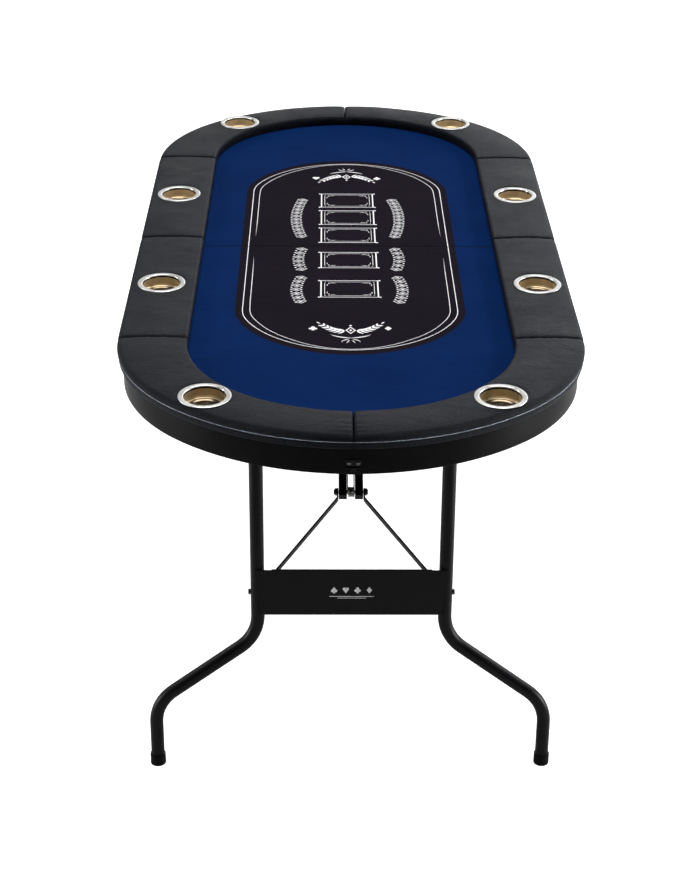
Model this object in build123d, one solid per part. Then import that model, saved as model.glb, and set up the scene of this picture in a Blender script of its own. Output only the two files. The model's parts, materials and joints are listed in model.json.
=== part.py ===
from build123d import *
import os
from math import asin, atan2, cos, degrees, hypot, radians, sin

# Oval folding card table, in millimetres. X runs across the table, Y along it and Z up.
# The origin is on the floor, under the middle of the table. The top is two halves, "near"
# (negative Y) and "far" (positive Y), hinged under the fold at Y = 0. Each half carries one
# folding leg frame, held open by a V brace and a centre link that meet at a knuckle.

# ---- Driving dimensions ---------------------------------------------------------------------
TOP_LENGTH = 1830.0
TOP_WIDTH = 910.0
FOLD_GAP = 0.8
SEAM_GAP = 0.6
LOOSE = 0.3
FIT = 0.05
MERGE = 1.0

# Heights of the layers, from the floor up.
SKIRT_BOTTOM = 673.0
DECK_BOTTOM = 724.0
RIM_BOTTOM = 729.0
DECK_TOP = 734.0
FELT_TOP = 735.0
RAIL_TOP = 742.0
CUSHION_TOP = 758.0
FLANGE_TOP = 760.0

# Plan outlines: half width, half length, end of the straight side, corner radius.
OUTER = (TOP_WIDTH / 2, TOP_LENGTH / 2, 500.0, 390.0)
INNER = (318.0, 817.0, 520.0, 285.0)
RIM_INSET = 2.5
SKIRT_INSET = 10.0
SKIRT_WALL = 6.0
LIP = 4.0
CUSHION_ROUND = 6.0
END_SEAM_Y = 512.0

# Drop-in cup holders.
CUP_SIDE = (389.0, 256.0)
CUP_END = (270.0, 766.0)
CUP_RADIUS = 40.0
CUP_WALL = 0.8
CUP_BOTTOM = 735.0
FLANGE_RADIUS = 49.0
CUP_HOLE = CUP_RADIUS + 0.5
BOARD_HOLE = CUP_RADIUS + 5.0
CUP_STEP = 1.0
CUP_STEP_BAND = (8.0, 10.0)
CUP_STEP_SLOPE = 1.0
FLANGE_CHAMFER = (1.4, 0.6)
THROAT_FLARE = (1.2, 1.6)
THROUGH = 200.0

# Leg frame.
TUBE_RADIUS = 13.0
TUBE_WALL = 1.3
PIVOT_Y = 820.0
PIVOT_Z = 706.0
LEG_TILT = 3.73
LEG_TOP_X = 177.0
LEG_FOOT_X = 377.0
UPPER_BEND_Z = 289.0
LOWER_BEND_Z = 137.0
BEND_RADIUS = 88.0
TUBE_TOP_RISE = 10.0
PIVOT_ROD_RADIUS = 8.0
PIVOT_ROD_HALF = 219.0
CAP_RADIUS = 15.0
CAP_HEIGHT = 21.0
CAP_SOLE = 4.0
PLATE_TOP_Z = 436.5
PLATE_BOTTOM_Z = 341.5
PLATE_TOP_HALF = 180.0
PLATE_BOTTOM_HALF = 171.0
PLATE_THICKNESS = 2.0
PLATE_FLANGE = 5.0
PLATE_FLANGE_HALF = 150.0

# Brace and link.
BOLT_DROP = 323.7
LINK_PIVOT_Y = 286.0
BOLT_RADIUS = 4.0
BRACE_THICKNESS = 3.0
BRACE_WIDTH = 15.0
BRACE_LEG_X = 162.0
BRACE_KNUCKLE_X = 26.0
BRACE_FLAT = 16.0
LINK_BAR = 16.0
LINK_BAR_X = 15.8
LINK_BAR_ROUND = 1.5
LINK_OVERRUN = 12.0
NUT_RADIUS = 7.2
NUT_HEIGHT = 4.0
DOME_RADIUS = 5.2
DOME_HEIGHT = 2.2
DOME_ROUND = 2.0
BOLT_HEAD_RADIUS = 5.5
BOLT_HEAD = 4.5
PIN_HEAD_RADIUS = 6.5
PIN_HEAD = 2.4
SPRING_WIRE = 1.1
SPRING_RADIUS = 9.0
SPRING_PITCH = 2.5
SPRING_TURNS = 5
SPRING_ARM = 58.0

# Brackets, hinges, latch and screws.
EAR_THICKNESS = 2.5
EAR_RADIUS = 14.0
EAR_FACES = (193.0, 213.0)
BASE_SPAN = (191.0, 232.0)
BASE_DEPTH = 32.0
BASE_SCREW_STEP = 11.0
LUG_X = 26.0
LUG_THICKNESS = 3.0
LUG_RADIUS = 11.0
LINK_BASE_HALF = (50.0, 20.0)
LINK_SCREW = (41.0, 11.0)
CROSS_DEPTH = 25.0
HINGE_X = (-300.0, 0.0, 300.0)
HINGE_LENGTH = 60.0
HINGE_DROP = 4.0
HINGE_Z = SKIRT_BOTTOM - HINGE_DROP
HINGE_SCREW_STEP = 20.0
BARREL_RADIUS = 3.6
HINGE_PIN_RADIUS = 1.8
LEAF_THICKNESS = 2.0
LEAF_REACH = 24.0
LEAF_SCREW = 16.0
LEAF_CLEAR = 0.8
LEAF_JOG = 0.45
SCREW_HEAD_RADIUS = 3.6
SCREW_HEAD = 2.0
SCREW_HEAD_ROUND = 1.2
SCREW_RADIUS = 1.8
SCREW_LENGTH = 8.0
DRILL_OVERRUN = 0.5
LATCH_HALF = 14.0
LATCH_PLATE = 1.5
LATCH_TOP_Z = 703.5
LATCH_SCREW = (8.0, 697.0)
LATCH_PIN_Z = 688.0
LATCH_BARREL = 1.9
LATCH_PIN_RADIUS = 0.9
LATCH_GAP = 0.6
LUG_INSIDE = 5.5
LEVER_HALF = 9.0
LEVER_LENGTH = 12.0
LEVER_THICKNESS = 1.6
LEVER_HOOK_HALF = 3.5
KEEPER_REACH = 12.0
KEEPER_HALF = 7.0

LATCH_FACE_Y = SKIRT_INSET - TOP_LENGTH / 2
LATCH_AXIS_Y = LATCH_FACE_Y - LATCH_BARREL - LATCH_GAP

nodes = {}


# ---- Shared shapes --------------------------------------------------------------------------
def half_oval(outline, inset=0.0):
    """Near half of an oval outline: straight sides, corner arcs and one nose arc."""
    half_width, half_length, side_end, corner_radius = outline
    rise = half_length - side_end
    nose_radius = (half_width**2 + rise**2 - 2 * half_width * corner_radius) / (2 * (rise - corner_radius))
    nose_y = nose_radius - half_length
    corner_x = half_width - corner_radius
    reach = hypot(corner_x, side_end + nose_y)
    side_x = half_width - inset
    meet_x = corner_x / reach * (nose_radius - inset)
    meet_y = nose_y - (side_end + nose_y) / reach * (nose_radius - inset)
    fold_y = -FOLD_GAP / 2
    edges = [
        Line((-side_x, fold_y), (side_x, fold_y)),
        Line((side_x, fold_y), (side_x, -side_end)),
        TangentArc((side_x, -side_end), (meet_x, meet_y), tangent=(0, -1)),
        ThreePointArc((meet_x, meet_y), (0, inset - half_length), (-meet_x, meet_y)),
        TangentArc((-side_x, -side_end), (-meet_x, meet_y), tangent=(0, -1)),
        Line((-side_x, -side_end), (-side_x, fold_y)),
    ]
    return make_face(Wire(edges))


def slab(face, bottom, top):
    """A plan face raised between two heights."""
    return extrude(Pos(0, 0, bottom) * face, top - bottom, dir=(0, 0, 1))


def span_box(x_span, y_span, z_span):
    """A box given by its lowest and highest value along each axis."""
    size = [high - low for low, high in (x_span, y_span, z_span)]
    centre = [(high + low) / 2 for low, high in (x_span, y_span, z_span)]
    return Pos(*centre) * Box(*size)


def rod(x_span, y, z, radius):
    """A cylinder along X."""
    length = x_span[1] - x_span[0]
    return Pos((x_span[0] + x_span[1]) / 2, y, z) * Rot(0, 90, 0) * Cylinder(radius, length)


def screw(x, y, z, direction):
    """A pan head screw whose head seats at a point, and whose shank runs along a direction."""
    plane = Plane(origin=(x, y, z), z_dir=direction)
    head = extrude(plane * Circle(SCREW_HEAD_RADIUS), -SCREW_HEAD)
    crown = head.edges().sort_by(lambda edge: -(edge.center() - Vector(x, y, z)).length)[0]
    head = fillet(crown, SCREW_HEAD_ROUND)
    return head + extrude(plane * Circle(SCREW_RADIUS), SCREW_LENGTH)


def screw_hole(x, y, z, direction):
    """The hole for a screw's shank."""
    plane = Plane(origin=(x, y, z), z_dir=direction)
    return extrude(plane * Circle(SCREW_RADIUS + FIT), SCREW_LENGTH + DRILL_OVERRUN)


def mirrored(shape):
    """The same piece on the other half of the table."""
    return mirror(shape, about=Plane.XZ)


def add_both_halves(name, shape):
    """Store a piece for the near half, and its mirror image for the far half."""
    nodes[f"near_{name}"] = shape
    nodes[f"far_{name}"] = mirrored(shape)


# ---- Table top ------------------------------------------------------------------------------
CUP_PLACES = {
    "left_side": (-CUP_SIDE[0], -CUP_SIDE[1]),
    "right_side": (CUP_SIDE[0], -CUP_SIDE[1]),
    "left_end": (-CUP_END[0], -CUP_END[1]),
    "right_end": (CUP_END[0], -CUP_END[1]),
}


def deck_screws():
    """Seats of the screws that hold the leg brackets and the link bracket under the deck."""
    bracket_x = (EAR_FACES[1] + EAR_THICKNESS + BASE_SPAN[1]) / 2
    head_z = DECK_BOTTOM - EAR_THICKNESS
    link_x, link_step = LINK_SCREW
    ends = (-1, 1)
    seats = [(side * bracket_x, -PIVOT_Y + end * BASE_SCREW_STEP, head_z) for side in ends for end in ends]
    seats += [(side * link_x, -LINK_PIVOT_Y + end * link_step, head_z) for side in ends for end in ends]
    return seats


def hinge_screws():
    """Seats of the screws that hold the hinge leaves under the cross member."""
    head_z = SKIRT_BOTTOM - LEAF_THICKNESS
    return [(x + side * HINGE_SCREW_STEP, -LEAF_SCREW, head_z) for x in HINGE_X for side in (-1, 1)]


def make_deck():
    board = slab(half_oval(OUTER, SKIRT_INSET + SKIRT_WALL + LOOSE), DECK_BOTTOM, DECK_TOP)
    for seat in deck_screws():
        board -= screw_hole(*seat, (0, 0, 1))
    return board


def make_felt():
    return slab(half_oval(INNER, -LIP), DECK_TOP, FELT_TOP)


def make_skirt():
    band = half_oval(OUTER, SKIRT_INSET) - half_oval(OUTER, SKIRT_INSET + SKIRT_WALL)
    skirt = slab(band, SKIRT_BOTTOM, DECK_TOP)
    for x, y, z in latch_screws():
        skirt -= screw_hole(x, y, z, (0, 1, 0))
    return skirt


def make_cross_member():
    half = TOP_WIDTH / 2 - SKIRT_INSET - SKIRT_WALL - LOOSE
    fold_y = -FOLD_GAP / 2
    member = span_box((-half, half), (fold_y - CROSS_DEPTH, fold_y), (SKIRT_BOTTOM, DECK_BOTTOM))
    for seat in hinge_screws():
        member -= screw_hole(*seat, (0, 0, 1))
    return member


def rail_sections(ring, hole_radius):
    """A half's rail ring, parted at its seams into four sections, each with a hole for its cup."""
    wide = TOP_WIDTH
    half_seam = SEAM_GAP / 2
    side_y = (-END_SEAM_Y + half_seam, 0)
    end_y = (-TOP_LENGTH, -END_SEAM_Y - half_seam)
    spans = {
        "left_side": ((-wide, -half_seam), side_y),
        "right_side": ((half_seam, wide), side_y),
        "left_end": ((-wide, -half_seam), end_y),
        "right_end": ((half_seam, wide), end_y),
    }
    sections = {}
    for place, (x_span, y_span) in spans.items():
        section = ring & span_box(x_span, y_span, (0, FLANGE_TOP))
        sections[place] = section - Pos(*CUP_PLACES[place], CUSHION_TOP) * Cylinder(hole_radius, THROUGH)
    return sections


def make_rail_boards():
    """The boards under the cushions, with a rim that hangs over the top of the skirt."""
    ring = slab(half_oval(OUTER, RIM_INSET) - half_oval(INNER, -LIP - LOOSE), DECK_TOP, RAIL_TOP)
    ring += slab(half_oval(OUTER, RIM_INSET) - half_oval(OUTER, SKIRT_INSET - LOOSE), RIM_BOTTOM, DECK_TOP)
    return list(rail_sections(ring, BOARD_HOLE).values())


def make_cushions():
    """Four cushions a half, cut from one rounded ring at the sewn seams."""
    ring = slab(half_oval(OUTER) - half_oval(INNER), RAIL_TOP, CUSHION_TOP)
    top_edges = ring.edges().filter_by_position(Axis.Z, CUSHION_TOP - 0.01, CUSHION_TOP + 0.01)
    rims = [edge for edge in top_edges if edge.center().Y < -FOLD_GAP]
    ring = fillet(rims, CUSHION_ROUND)
    ring += slab(half_oval(INNER, -LIP) - half_oval(INNER), FELT_TOP, RAIL_TOP)
    return rail_sections(ring, CUP_HOLE)


def make_cup():
    """A spun metal cup with a rolled flange and a stepped floor."""
    inside = CUP_RADIUS - CUP_WALL
    floor = CUP_BOTTOM + CUP_WALL
    edge_width, edge_drop = FLANGE_CHAMFER
    throat_width, throat_drop = THROAT_FLARE
    step_start, step_end = CUP_STEP_BAND
    profile = Polyline(
        (0, CUP_BOTTOM),
        (CUP_RADIUS, CUP_BOTTOM),
        (CUP_RADIUS, CUSHION_TOP),
        (FLANGE_RADIUS, CUSHION_TOP),
        (FLANGE_RADIUS, FLANGE_TOP - edge_drop),
        (FLANGE_RADIUS - edge_width, FLANGE_TOP),
        (CUP_RADIUS + throat_width, FLANGE_TOP),
        (inside, FLANGE_TOP - throat_drop),
        (inside, floor),
        (inside - step_start + CUP_STEP_SLOPE, floor),
        (inside - step_start, floor + CUP_STEP),
        (inside - step_end, floor + CUP_STEP),
        (inside - step_end - CUP_STEP_SLOPE, floor),
        (0, floor),
        close=True,
    )
    return revolve(Plane.XZ * make_face(profile), axis=Axis.Z)


# ---- Brackets, hinges and latch -------------------------------------------------------------
def make_leg_brackets():
    """Two bent brackets under the deck, each with two ears that carry the pivot rod."""
    brackets = []
    base_y = (-PIVOT_Y - BASE_DEPTH / 2, -PIVOT_Y + BASE_DEPTH / 2)
    base_bottom = DECK_BOTTOM - EAR_THICKNESS
    for side in (-1, 1):
        base_x = sorted((side * BASE_SPAN[0], side * BASE_SPAN[1]))
        bracket = span_box(base_x, base_y, (base_bottom, DECK_BOTTOM))
        for face in EAR_FACES:
            x_span = sorted((side * face, side * (face + EAR_THICKNESS)))
            ear_y = (-PIVOT_Y - EAR_RADIUS, -PIVOT_Y + EAR_RADIUS)
            bracket += span_box(x_span, ear_y, (PIVOT_Z, DECK_BOTTOM))
            bracket += rod(x_span, -PIVOT_Y, PIVOT_Z, EAR_RADIUS)
            bracket -= rod(x_span, -PIVOT_Y, PIVOT_Z, PIVOT_ROD_RADIUS + FIT)
        brackets.append(bracket)
    for x, y, z in deck_screws()[:4]:
        place = 0 if x < 0 else 1
        brackets[place] -= Pos(x, y, z) * Cylinder(SCREW_RADIUS + FIT, SCREW_LENGTH)
    return brackets


def make_link_bracket():
    """A plate under the deck with two lugs that carry the centre link."""
    base_bottom = DECK_BOTTOM - EAR_THICKNESS
    half_x, half_y = LINK_BASE_HALF
    base_y = (-LINK_PIVOT_Y - half_y, -LINK_PIVOT_Y + half_y)
    lug_y = (-LINK_PIVOT_Y - LUG_RADIUS, -LINK_PIVOT_Y + LUG_RADIUS)
    bracket = span_box((-half_x, half_x), base_y, (base_bottom, DECK_BOTTOM))
    for side in (-1, 1):
        x_span = sorted((side * (LUG_X - LUG_THICKNESS / 2), side * (LUG_X + LUG_THICKNESS / 2)))
        bracket += span_box(x_span, lug_y, (PIVOT_Z, DECK_BOTTOM))
        bracket += rod(x_span, -LINK_PIVOT_Y, PIVOT_Z, LUG_RADIUS)
        bracket -= rod(x_span, -LINK_PIVOT_Y, PIVOT_Z, BOLT_RADIUS + FIT)
    for x, y, z in deck_screws()[4:]:
        bracket -= Pos(x, y, z) * Cylinder(SCREW_RADIUS + FIT, SCREW_LENGTH)
    return bracket


def make_hinge_leaves(sign):
    """Leaves of the three fold hinges; the near leaves hold the outer knuckles."""
    leaves = []
    leaf_z = (SKIRT_BOTTOM - LEAF_THICKNESS, SKIRT_BOTTOM)
    third = HINGE_LENGTH / 3
    for x in HINGE_X:
        spans = [(x - 3 * third / 2, x - third / 2 - LOOSE), (x + third / 2 + LOOSE, x + 3 * third / 2)]
        if sign > 0:
            spans = [(x - third / 2, x + third / 2)]
        leaf_y = sorted((sign * (BARREL_RADIUS + LEAF_CLEAR), sign * LEAF_REACH))
        leaf = span_box((x - HINGE_LENGTH / 2, x + HINGE_LENGTH / 2), leaf_y, leaf_z)
        for span in spans:
            leaf += rod(span, 0, HINGE_Z, BARREL_RADIUS)
            neck_y = sorted((0, sign * (BARREL_RADIUS + MERGE)))
            leaf += span_box(span, neck_y, (leaf_z[0], leaf_z[1] - LEAF_JOG))
        leaf -= rod((x - HINGE_LENGTH, x + HINGE_LENGTH), 0, HINGE_Z, HINGE_PIN_RADIUS + FIT)
        for seat_x, seat_y, seat_z in hinge_screws():
            leaf -= Pos(seat_x, -sign * seat_y, seat_z) * Cylinder(SCREW_RADIUS + FIT, SCREW_LENGTH)
        leaves.append(leaf)
    return leaves


def make_hinge_pins():
    return [rod((x - HINGE_LENGTH / 2, x + HINGE_LENGTH / 2), 0, HINGE_Z, HINGE_PIN_RADIUS) for x in HINGE_X]


def latch_screws():
    """Seats of the two screws through the latch plate into the end of the skirt."""
    half_x, z = LATCH_SCREW
    return [(side * half_x, LATCH_FACE_Y - LATCH_PLATE, z) for side in (-1, 1)]


def latch_plate_blank(z_span):
    """A plate on the end of the skirt, with its two screw holes."""
    plate = span_box((-LATCH_HALF, LATCH_HALF), (LATCH_FACE_Y - LATCH_PLATE, LATCH_FACE_Y), z_span)
    for x, y, z in latch_screws():
        plate -= Pos(x, y, z) * Rot(90, 0, 0) * Cylinder(SCREW_RADIUS + FIT, SCREW_LENGTH)
    return plate


def make_latch_plate():
    """The plate, with two side tabs that end in the lugs of the lever's pin."""
    tab_top = LATCH_PIN_Z + LATCH_BARREL + LATCH_GAP
    plate = latch_plate_blank((tab_top, LATCH_TOP_Z))
    for side in (-1, 1):
        x_span = sorted((side * LUG_INSIDE, side * LATCH_HALF))
        plate += rod(x_span, LATCH_AXIS_Y, LATCH_PIN_Z, LATCH_BARREL)
        plate += span_box(x_span, (LATCH_FACE_Y - LATCH_PLATE, LATCH_FACE_Y), (LATCH_PIN_Z, tab_top))
    pin_half = LUG_INSIDE + MERGE
    return plate + rod((-pin_half, pin_half), LATCH_AXIS_Y, LATCH_PIN_Z, LATCH_PIN_RADIUS)


def make_latch_lever():
    """The lever that hangs in front of the skirt, with a hook on its inner face."""
    stem = (LOOSE - LUG_INSIDE, LUG_INSIDE - LOOSE)
    wide = (-LEVER_HALF, LEVER_HALF)
    blade_y = (LATCH_AXIS_Y - LEVER_THICKNESS / 2, LATCH_AXIS_Y + LEVER_THICKNESS / 2)
    foot_z = LATCH_PIN_Z - LEVER_LENGTH
    lever = rod(stem, LATCH_AXIS_Y, LATCH_PIN_Z, LATCH_BARREL)
    lever += span_box(stem, blade_y, (foot_z, LATCH_PIN_Z))
    lever += span_box(wide, blade_y, (foot_z, foot_z + LEVER_LENGTH / 2))
    lever += span_box(wide, (blade_y[0] - LEVER_THICKNESS, blade_y[0]), (foot_z, foot_z + LEVER_THICKNESS))
    hook_y = (blade_y[1], LATCH_FACE_Y - LOOSE)
    hook_z = (foot_z + LEVER_THICKNESS, foot_z + 2 * LEVER_THICKNESS)
    lever += span_box((-LEVER_HOOK_HALF, LEVER_HOOK_HALF), hook_y, hook_z)
    return lever - rod(wide, LATCH_AXIS_Y, LATCH_PIN_Z, LATCH_PIN_RADIUS + FIT)


def make_latch_keeper():
    """The far end's plate, with a slotted tongue that the hook enters when the top is folded."""
    tongue_y = (LATCH_FACE_Y - LATCH_PLATE, LATCH_FACE_Y)
    tongue_bottom = SKIRT_BOTTOM - KEEPER_REACH
    hook_height = LATCH_PIN_Z - LEVER_LENGTH + 3 * LEVER_THICKNESS / 2
    hook_z = 2 * HINGE_Z - hook_height
    slot_z = (hook_z - LEVER_THICKNESS, hook_z + LEVER_THICKNESS)
    plate_bottom = LATCH_SCREW[1] - LATCH_HALF / 2
    keeper = latch_plate_blank((plate_bottom, LATCH_TOP_Z))
    keeper += span_box((-KEEPER_HALF, KEEPER_HALF), tongue_y, (tongue_bottom, plate_bottom + MERGE))
    slot_half = LEVER_HOOK_HALF + LOOSE
    keeper -= span_box((-slot_half, slot_half), (tongue_y[0] - MERGE, tongue_y[1] + MERGE), slot_z)
    return mirrored(keeper)


# ---- Leg frame ------------------------------------------------------------------------------
# The frame is drawn upright in its own plane, with the pivot at the plane's origin, and then
# leaned outwards about the pivot, so its Z is the distance along the leg.
LEG_PLACE = Pos(0, -PIVOT_Y, PIVOT_Z) * Rot(-LEG_TILT, 0, 0)


def along_leg(z):
    """Place along the leg, from the pivot, of a height above the floor."""
    return (z - PIVOT_Z) / cos(radians(LEG_TILT))


def make_leg(side):
    sole_z = along_leg(CAP_SOLE)
    path = FilletPolyline(
        (side * LEG_TOP_X, 0, TUBE_TOP_RISE),
        (side * LEG_TOP_X, 0, along_leg(UPPER_BEND_Z)),
        (side * LEG_FOOT_X, 0, along_leg(LOWER_BEND_Z)),
        (side * LEG_FOOT_X, 0, sole_z),
        radius=BEND_RADIUS,
    )
    section = Plane(origin=path @ 0, z_dir=path % 0) * (Circle(TUBE_RADIUS) - Circle(TUBE_RADIUS - TUBE_WALL))
    tube = sweep(section, path=path)
    x_span = (side * LEG_TOP_X - 2 * TUBE_RADIUS, side * LEG_TOP_X + 2 * TUBE_RADIUS)
    tube -= rod(x_span, 0, 0, PIVOT_ROD_RADIUS + FIT)
    tube -= rod(x_span, 0, -BOLT_DROP, BOLT_RADIUS + FIT)
    return LEG_PLACE * tube


def make_pivot_rod():
    return LEG_PLACE * rod((-PIVOT_ROD_HALF, PIVOT_ROD_HALF), 0, 0, PIVOT_ROD_RADIUS)


def make_cross_plate():
    """Sheet across the front of both tubes, with stiffening flanges turned back."""
    top = along_leg(PLATE_TOP_Z)
    bottom = along_leg(PLATE_BOTTOM_Z)
    shape = Polyline(
        (-PLATE_BOTTOM_HALF, bottom),
        (PLATE_BOTTOM_HALF, bottom),
        (PLATE_TOP_HALF, top),
        (-PLATE_TOP_HALF, top),
        close=True,
    )
    front_y = -TUBE_RADIUS - PLATE_THICKNESS - FIT
    plate = extrude(Plane.XZ * make_face(shape), -PLATE_THICKNESS)
    plate = Pos(0, front_y, 0) * plate
    for z in (top - PLATE_THICKNESS, bottom):
        x_span = (-PLATE_FLANGE_HALF, PLATE_FLANGE_HALF)
        plate += span_box(x_span, (front_y, front_y + PLATE_FLANGE), (z, z + PLATE_THICKNESS))
    return LEG_PLACE * plate


def make_foot_caps():
    """Rubber caps on the tube ends, cut flat where they meet the floor."""
    caps = []
    for side in (-1, 1):
        middle = Pos(side * LEG_FOOT_X, 0, along_leg(CAP_HEIGHT) - THROUGH / 2)
        cap = middle * Cylinder(CAP_RADIUS, THROUGH)
        bore = Pos(side * LEG_FOOT_X, 0, along_leg(CAP_SOLE) + THROUGH / 2)
        cap -= bore * Cylinder(TUBE_RADIUS + FIT, THROUGH)
        above_floor = span_box((-TOP_WIDTH, TOP_WIDTH), (-TOP_LENGTH, 0), (0, THROUGH))
        caps.append((LEG_PLACE * cap) & above_floor)
    return caps


def make_brace_bolts():
    """Bolts through the leg tubes that carry the braces, with heads outside and nuts inside."""
    bolts = []
    for side in (-1, 1):
        inner = BRACE_LEG_X - BRACE_THICKNESS / 2
        outer = LEG_TOP_X + TUBE_RADIUS
        nut_face = inner - LOOSE
        head_x = (outer + LOOSE, outer + LOOSE + BOLT_HEAD)
        shank = rod(sorted((side * (nut_face - NUT_HEIGHT), side * head_x[1])), 0, -BOLT_DROP, BOLT_RADIUS)
        head = rod(sorted((side * head_x[0], side * head_x[1])), 0, -BOLT_DROP, BOLT_HEAD_RADIUS)
        head = fillet(head.edges().sort_by(lambda edge: -abs(edge.center().X))[0], BOLT_HEAD / 2)
        nut_plane = Plane(origin=(side * nut_face, 0, -BOLT_DROP), z_dir=(-side, 0, 0))
        nut = extrude(nut_plane * RegularPolygon(NUT_RADIUS, 6), NUT_HEIGHT)
        bolts.append(LEG_PLACE * (shank + head + nut))
    return bolts


# ---- Brace and link -------------------------------------------------------------------------
def brace_points():
    """Leg bolt, knuckle and link pivot of the near half, as (y, z)."""
    tilt = radians(LEG_TILT)
    leg_bolt = Vector(-PIVOT_Y - BOLT_DROP * sin(tilt), PIVOT_Z - BOLT_DROP * cos(tilt))
    link_pivot = Vector(-LINK_PIVOT_Y, PIVOT_Z)
    span = (link_pivot - leg_bolt).length
    brace = (span - (PIVOT_Y - LINK_PIVOT_Y) + BOLT_DROP) / 2
    knuckle = leg_bolt + (link_pivot - leg_bolt) * (brace / span)
    return leg_bolt, knuckle, link_pivot, brace, span - brace


LEG_BOLT, KNUCKLE, LINK_PIVOT, BRACE_LENGTH, LINK_LENGTH = brace_points()
BRACE_SLOPE = degrees(atan2(KNUCKLE.Y - LEG_BOLT.Y, KNUCKLE.X - LEG_BOLT.X))
# Drawn with Y along the brace from the leg bolt, and turned about it.
BRACE_PLACE = Pos(0, LEG_BOLT.X, LEG_BOLT.Y) * Rot(BRACE_SLOPE, 0, 0)


def make_braces():
    """Two flat bars that run from the leg bolts in to the knuckle."""
    braces = []
    for side in (-1, 1):
        line = Polyline(
            (side * BRACE_LEG_X, -BRACE_WIDTH),
            (side * BRACE_LEG_X, BRACE_FLAT),
            (side * BRACE_KNUCKLE_X, BRACE_LENGTH - BRACE_FLAT),
            (side * BRACE_KNUCKLE_X, BRACE_LENGTH + BRACE_WIDTH),
        )
        plan = trace(line, line_width=BRACE_THICKNESS)
        bar = extrude(plan, BRACE_WIDTH / 2, both=True)
        side_view = SlotCenterToCenter(BRACE_LENGTH, BRACE_WIDTH)
        window = Plane(origin=(0, BRACE_LENGTH / 2, 0), x_dir=(0, 1, 0), z_dir=(1, 0, 0)) * side_view
        bar &= extrude(window, THROUGH, both=True)
        for y in (0, BRACE_LENGTH):
            bar -= rod((-THROUGH, THROUGH), y, 0, BOLT_RADIUS + FIT)
        braces.append(BRACE_PLACE * bar)
    return braces


def make_knuckle_nuts():
    """Domed nuts outside the brace ends at the knuckle, each with a stub of thread."""
    nuts = []
    face = BRACE_KNUCKLE_X + BRACE_THICKNESS / 2
    for side in (-1, 1):
        plane = Plane(origin=(side * face, BRACE_LENGTH, 0), z_dir=(side, 0, 0))
        stub = rod(sorted((side * (face - BRACE_THICKNESS), side * face)), BRACE_LENGTH, 0, BOLT_RADIUS)
        nut = extrude(plane * RegularPolygon(NUT_RADIUS, 6), NUT_HEIGHT)
        crown_x = sorted((side * (face + NUT_HEIGHT), side * (face + NUT_HEIGHT + DOME_HEIGHT)))
        dome = rod(crown_x, BRACE_LENGTH, 0, DOME_RADIUS)
        dome = fillet(dome.edges().sort_by(lambda edge: -abs(edge.center().X))[0], DOME_ROUND)
        nuts.append(BRACE_PLACE * (nut + dome + stub))
    return nuts


def make_link_bars():
    """Two square bars side by side, from under the deck to just past the knuckle."""
    bars = []
    start = BRACE_LENGTH - LINK_OVERRUN
    end = BRACE_LENGTH + LINK_LENGTH + LINK_BAR / 2
    for side in (-1, 1):
        centre = side * LINK_BAR_X
        x_span = (centre - LINK_BAR / 2, centre + LINK_BAR / 2)
        bar = span_box(x_span, (start, end), (-LINK_BAR / 2, LINK_BAR / 2))
        bar = fillet(bar.edges().filter_by(Axis.Y), LINK_BAR_ROUND)
        for y in (BRACE_LENGTH, BRACE_LENGTH + LINK_LENGTH):
            bar -= rod((-THROUGH, THROUGH), y, 0, BOLT_RADIUS + FIT)
        bars.append(BRACE_PLACE * bar)
    return bars


def make_link_pins():
    """The knuckle bolt, and the pin through the lugs of the link bracket."""
    knuckle_half = BRACE_KNUCKLE_X - BRACE_THICKNESS / 2 - LOOSE
    pin_half = LUG_X + LUG_THICKNESS / 2 + LOOSE
    knuckle = rod((-knuckle_half, knuckle_half), BRACE_LENGTH, 0, BOLT_RADIUS)
    pin = rod((-pin_half, pin_half), BRACE_LENGTH + LINK_LENGTH, 0, BOLT_RADIUS)
    for side in (-1, 1):
        head_x = sorted((side * pin_half, side * (pin_half + PIN_HEAD)))
        pin += rod(head_x, BRACE_LENGTH + LINK_LENGTH, 0, PIN_HEAD_RADIUS)
    return [BRACE_PLACE * knuckle, BRACE_PLACE * pin]


def make_lock_spring():
    """A torsion spring on the knuckle bolt, with its two arms running up between the bars."""
    height = SPRING_PITCH * SPRING_TURNS
    coil = Helix(pitch=SPRING_PITCH, height=height, radius=SPRING_RADIUS)
    helix = Pos(-height / 2, 0, 0) * Rot(0, 90, 0) * coil
    section = Plane(origin=helix @ 0, z_dir=helix % 0) * Circle(SPRING_WIRE)
    spring = sweep(section, path=helix, is_frenet=True)
    for end in (0, 1):
        point = helix @ end
        arm = Plane(origin=(point.X, point.Y, point.Z), z_dir=(0, 1, 0))
        spring += extrude(arm * Circle(SPRING_WIRE), SPRING_ARM)
    return BRACE_PLACE * Pos(0, BRACE_LENGTH, 0) * spring


# ---- Assembly -------------------------------------------------------------------------------
def build_top():
    add_both_halves("deck_board", make_deck())
    add_both_halves("felt", make_felt())
    add_both_halves("skirt", make_skirt())
    add_both_halves("cross_member", make_cross_member())
    add_both_halves("rail_boards", Compound(children=make_rail_boards()))
    cup = make_cup()
    for place, cushion in make_cushions().items():
        add_both_halves(f"{place}_cushion", cushion)
        add_both_halves(f"{place}_cup", Pos(*CUP_PLACES[place], 0) * cup)


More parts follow.
